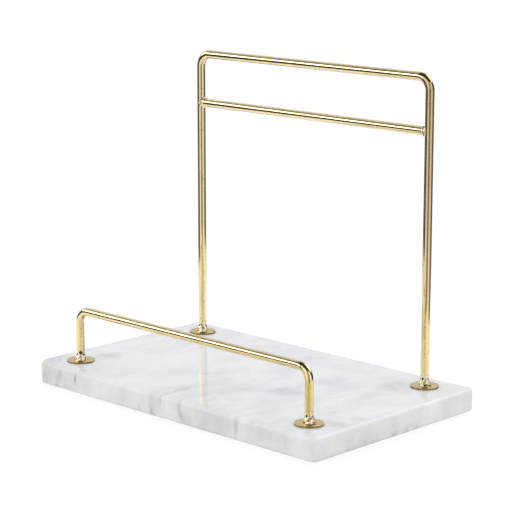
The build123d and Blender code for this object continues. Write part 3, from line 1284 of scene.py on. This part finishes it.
GREY, BLUE, OCHRE, MILK = Stain.GRAPHITE, Stain.BLUE, Stain.OCHRE, Stain.MILK
CLOUDS = (
    # clouds that reach the polished top
    Cloud(-57, 69.5, 16, 4, 2, 4, 0.2),
    Cloud(-4, 61, 17, 17, 15, 14, 0.14, BLUE),
    Cloud(8, 52, 17, 24, 14, 12, 0.05),
    Cloud(32, 49, 17, 12, 10, 18, 0.09),
    Cloud(56, 50, 17, 26, 16, 16, 0.07),
    Cloud(52, 22, 17, 18, 17, 22, 0.24, BLUE),
    Cloud(60, 18, 17, 22, 17, 18, 0.05),
    Cloud(87, 42, 17, 18, 20, 18, 0.2),
    Cloud(104, 10, 17, 9, 11, 16, 0.08),
    Cloud(47, -15, 15, 21, 17, 22, 0.11),
    Cloud(45, -14, 15, 19, 15, 22, 0.42, BLUE),
    Cloud(28, -26, 16, 22, 12, 14, 0.1),
    Cloud(50, -40, 16, 7, 6, 9, 0.12),
    Cloud(35, -49, 16, 6, 7, 9, 0.12),
    Cloud(25, -57, 14, 4, 14, 10, 0.13, GREY, 12),
    Cloud(-14, 0, 17, 12, 22, 14, 0.09, GREY, -20),
    Cloud(-26, -21, 17, 22, 13, 16, 0.1),
    Cloud(-7, -32, 17, 14, 24, 14, 0.06),
    Cloud(-5, -60, 14, 3, 17, 8, 0.5, GREY, 4),
    Cloud(-10, -50, 14, 9, 15, 8, 0.1),
    # Partly painted shadow: this grey patch beside the front left flange is a cloud in the stone and in part
    # the flange's shadow, painted in.
    Cloud(-98, -34, 16, 10, 15, 12, 0.24, GREY, -14),
    Cloud(-120, -30, 15, 9, 22, 14, 0.12),
    Cloud(-118, -60, 16, 12, 14, 10, 0.3),
    Cloud(117, -27, 15, 7, 8, 10, 0.24),
    Cloud(113, -44, 15, 12, 7, 10, 0.24),
    Cloud(96, -27, 17, 3, 3, 4, 0.1),
    Cloud(74, 43, 17, 3, 2.5, 4, 0.1),
    Cloud(71, 56, 17, 4, 2.5, 4, 0.1),
    Cloud(-115, 66, 15, 14, 10, 14, 0.14),
    Cloud(-95, 20, 17, 26, 12, 10, 0.05, BLUE),
    # paler stone in between
    Cloud(-70, 25, 17, 40, 22, 20, 0.35, MILK, 20),
    Cloud(-45, -58, 17, 40, 12, 12, 0.3, MILK),
    Cloud(88, -5, 17, 26, 12, 14, 0.3, MILK),
    # sheets and patches that reach the front side
    Cloud(-115, -70, 9, 14, 14, 18, 0.6, OCHRE),
    Cloud(-103, -75, 10, 4.5, 12, 11, 0.22),
    Cloud(-103, -75, 3, 2.2, 8, 3, 0.22),
    Cloud(-87.5, -75, 11, 2.0, 9, 6.5, 0.42),
    Cloud(-92, -75, 7, 9, 9, 12, 0.07),
    Cloud(-60, -75, 9, 16, 13, 16, 0.8, MILK),
    Cloud(-36, -75, 7, 13, 12, 16, 0.08),
    Cloud(-25, -75, 5, 2.4, 7, 4, 0.2),
    Cloud(-14, -75, 5, 2.4, 9, 7, 0.42),
    Cloud(-8, -75, 10, 10, 10, 12, 0.09),
    Cloud(-4.5, -75, 14, 2.6, 9, 6, 0.2),
    Cloud(6, -75, 9, 9, 11, 12, 0.5, MILK),
    Cloud(15.5, -75, 10, 2.4, 11, 14, 0.22),
    Cloud(20, -75, 5, 8, 10, 8, 0.3, BLUE),
    Cloud(32, -75, 10, 12, 11, 12, 0.09),
    Cloud(52, -75, 8, 16, 11, 14, 0.09),
    Cloud(62, -75, 9, 2.4, 9, 14, 0.2),
    Cloud(76, -75, 14, 2.2, 7, 5, 0.14),
    Cloud(97, -75, 5, 24, 12, 9, 0.75, MILK),
    Cloud(88, -75, 13, 12, 10, 6, 0.07),
    Cloud(122, -72, 9, 6, 9, 12, 0.08),
    # patches that reach the right side
    Cloud(125, -30, 2, 9, 62, 9, 0.26),
    Cloud(125, -47, 11, 9, 6, 4, 0.13),
    Cloud(125, -29, 9, 10, 7, 8, 0.16, BLUE),
    Cloud(125, -5, 9, 10, 8, 14, 0.13),
    Cloud(125, 12, 5, 9, 12, 8, 0.15),
    Cloud(125, 22, 15.5, 6, 1.5, 2.5, 0.3),
    Cloud(125, 30, 11, 12, 12, 14, 0.6, MILK),
    Cloud(125, 46, 8, 11, 7, 14, 0.1),
    Cloud(125, 64, 12, 12, 12, 12, 0.35, MILK),
)


def main() -> None:
    """Builds the studio and the holder."""
    logging.basicConfig(level=logging.INFO, format="%(name)s: %(message)s")
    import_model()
    Studio().build()
    Holder(CLOUDS).build()


if __name__ == "__main__":
    main()
